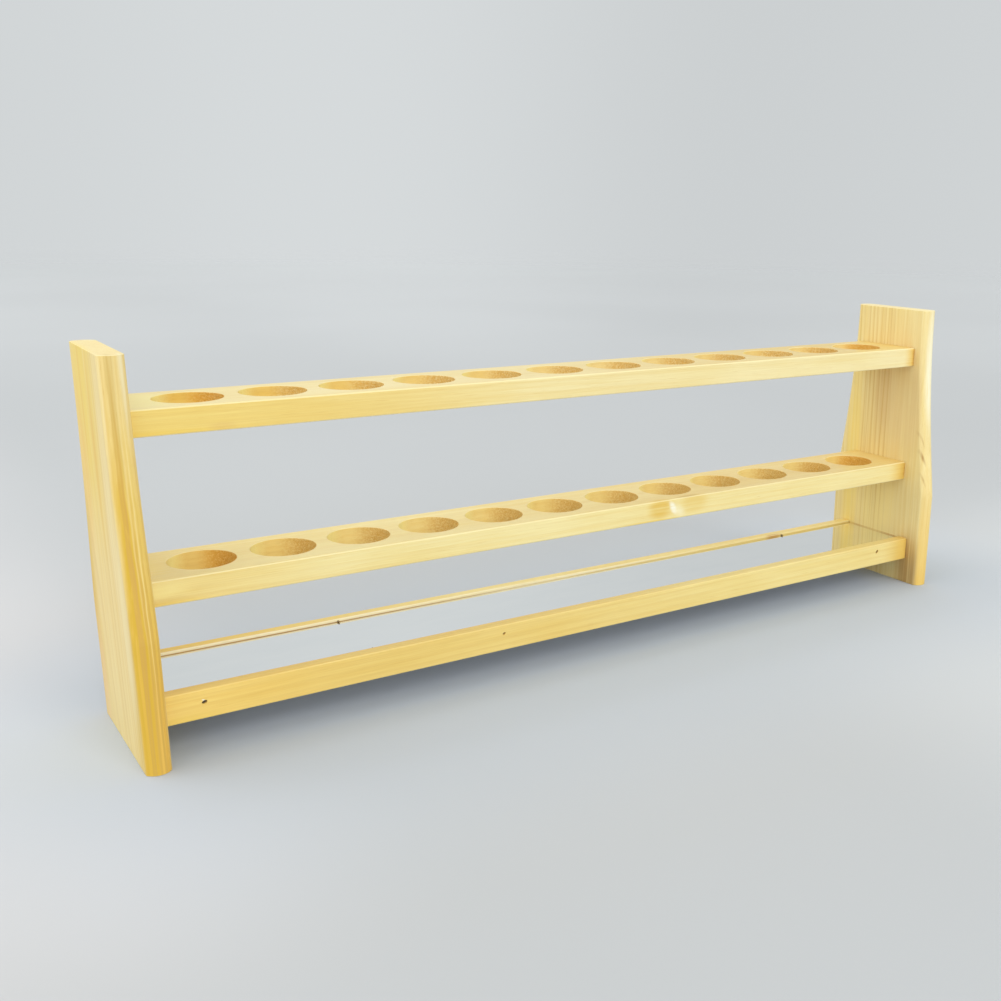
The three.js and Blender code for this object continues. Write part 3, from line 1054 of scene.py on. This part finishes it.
def mirror():
    low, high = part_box("mirror_plate")
    low, high = low + MIRROR_INSET, high - MIRROR_INSET
    plate = add_object("mirror", lambda bm: block(bm, low, high, MIRROR_CUTS), glass, MIRROR_EASE, steps=2)
    fix(plate, "mirror_plate")


mirror()

# ---------------------------------------------------------------- studio

FLOOR_COLOUR = (0.614, 0.626, 0.631)
NEAR_SHARE = 0.89
# painted shade colour: the floor is bluer beside and under the rack, where its shade falls
BESIDE_SHADE_BLUE = (0.570, 0.615, 0.675)
UNDER_SHADE_BLUE = (0.580, 0.650, 0.790)
DIM_FLOOR = (0.0, 0.0, 0.0)
# painted light pools left and right of the rack, and a little painted shade toward the rear right
LEFT_LIGHT_POOL = (1.245, 1.205, 1.20)
RIGHT_LIGHT_POOL = (1.14, 1.14, 1.14)
REAR_PAINTED_SHADE = (0.965, 0.965, 0.965)
RACK_REACH = 0.2
FADE_FROM, FADE_TO = 1.3, 6.0
FLOOR_RADII = [0.05, 0.3, 0.8, 2.0, 4.0, 8.0]
FLOOR_AROUND = 64
AIR_COLOUR = (0.675, 0.704, 0.714)
AIR_TONES = [
    (0.0, 0.945),
    (0.16, 0.945),
    (0.30, 1.0),
    (0.45, 1.0),
    (0.60, 0.885),
    (0.72, 0.905),
    (0.85, 0.945),
]
# name: azimuth, elevation and spread in degrees, and strength. Azimuth 0 is the +Y side and 90 the +X side.
SUNS = {
    "front": (176, 31, 40, 1.2),
    "rear_left": (315, 60, 44, 0.52),
    "rear_right": (40, 62, 44, 0.14),
    "left": (268, 12, 110, 1.14),
}


def air_tone(nodes, links, toward_x):
    """How bright the studio air is, by how far a direction turns toward +X, from 0 up to 1."""
    return grey_ramp(nodes, links, toward_x, AIR_TONES, "B_SPLINE")


def studio_finish():
    """Pale paper toned like the air far away, with painted light pools left and right, a little painted shade
    toward the rear right, and a bluer painted shade colour beside and under the rack.
    """
    s = Shader("studio_paper")
    axes = s.axes()
    x, y = axes[:2]
    tone = s.noise(s.scaled(axes, 1.3, 1.3, 1.3), 2.0, 0.5, 1.0)
    tooth = s.noise(s.scaled(axes, 900.0, 900.0, 900.0), 2.0, 0.5, 2.0)
    radius = s.length(x, y)
    far_tone = s.mix(1.0, FLOOR_COLOUR, air_tone(s.nodes, s.links, s.math("DIVIDE", x, radius)), "MULTIPLY")
    near_tone = tuple(c * NEAR_SHARE for c in FLOOR_COLOUR)
    paper = s.mix(s.spread(radius, 0.7, 1.9), near_tone, far_tone)
    # painted light and shade on the floor: pools of light left and right, shade toward the rear right
    left = s.math("MULTIPLY", s.spread(x, -0.15, -0.28), s.spread(y, 0.45, 0.15, 0.45, 1.0))
    left = s.math("MULTIPLY", left, s.spread(y, -0.24, -0.06, 0.1, 1.0))
    right = s.math("MULTIPLY", s.spread(x, 0.0, 0.17), s.spread(y, 0.12, -0.05))
    rear = s.math("MULTIPLY", s.spread(x, 0.0, 0.4), s.spread(y, 0.02, 0.2))
    for share, gain in ((left, LEFT_LIGHT_POOL), (right, RIGHT_LIGHT_POOL), (rear, REAR_PAINTED_SHADE)):
        paper = s.tinted(share, paper, gain)
    # painted shade colour: the floor is bluer beside and under the rack
    beyond = s.math("MAXIMUM", s.math("SUBTRACT", s.math("ABSOLUTE", x), RACK_REACH), 0.0)
    away = s.length(y, beyond)
    paper = s.mix(s.spread(away, 0.03, 0.20), BESIDE_SHADE_BLUE, paper)
    paper = s.mix(s.spread(away, 0.0, 0.035), UNDER_SHADE_BLUE, paper)
    s.put(s.surface.inputs["Base Color"], s.mix(s.spread(tone, 0.3, 0.7, 0.0, 0.03), paper, DIM_FLOOR))
    s.put(s.surface.inputs["Roughness"], 0.9)
    s.put(s.surface.inputs["Specular IOR Level"], 0.1)
    s.put(s.surface.inputs["Normal"], s.bump(tooth, 0.0001, 0.3))
    s.put(s.surface.inputs["Alpha"], s.spread(radius, FADE_FROM, FADE_TO, 1.0, 0.0))
    return s.material


def wide_floor(bm):
    """A flat floor that reaches far past the rack. Its paper fades into the studio air before its rim."""
    steps = [2 * math.pi * k / FLOOR_AROUND for k in range(FLOOR_AROUND)]
    rings = []
    for radius in FLOOR_RADII:
        rings.append([bm.verts.new((radius * math.cos(a), radius * math.sin(a), 0.0)) for a in steps])
    bm.faces.new(rings[0])
    join_rings(bm, rings)


def add_sun(name, azimuth, elevation, spread, strength):
    """A large soft white lamp far away, not mirrored."""
    data = bpy.data.lights.new(name, "SUN")
    data.energy = strength
    data.angle = math.radians(spread)
    turn, rise = math.radians(azimuth), math.radians(elevation)
    source = Vector((math.sin(turn) * math.cos(rise), math.cos(turn) * math.cos(rise), math.sin(rise)))
    lamp = bpy.data.objects.new(name, data)
    lamp.rotation_euler = (-source).to_track_quat("-Z", "Y").to_euler()
    lamp.visible_glossy = False
    bpy.context.scene.collection.objects.link(lamp)


def add_world():
    """Pale studio air, a little uneven from side to side."""
    world = bpy.data.worlds.new("studio_air")
    world.use_nodes = True
    nodes, links = world.node_tree.nodes, world.node_tree.links
    split = nodes.new("ShaderNodeSeparateXYZ")
    links.new(nodes.new("ShaderNodeTexCoord").outputs["Generated"], split.inputs[0])
    toned = nodes.new("ShaderNodeMix")
    toned.data_type = "RGBA"
    toned.blend_type = "MULTIPLY"
    toned.inputs[0].default_value = 1.0
    toned.inputs[6].default_value = (*AIR_COLOUR, 1.0)
    links.new(air_tone(nodes, links, split.outputs[0]), toned.inputs[7])
    links.new(toned.outputs[2], nodes["Background"].inputs["Color"])
    bpy.context.scene.world = world


add_object("floor", wide_floor, studio_finish())
add_world()
for name, aim in SUNS.items():
    add_sun(name, *aim)
bpy.context.scene.view_settings.view_transform = "Standard"
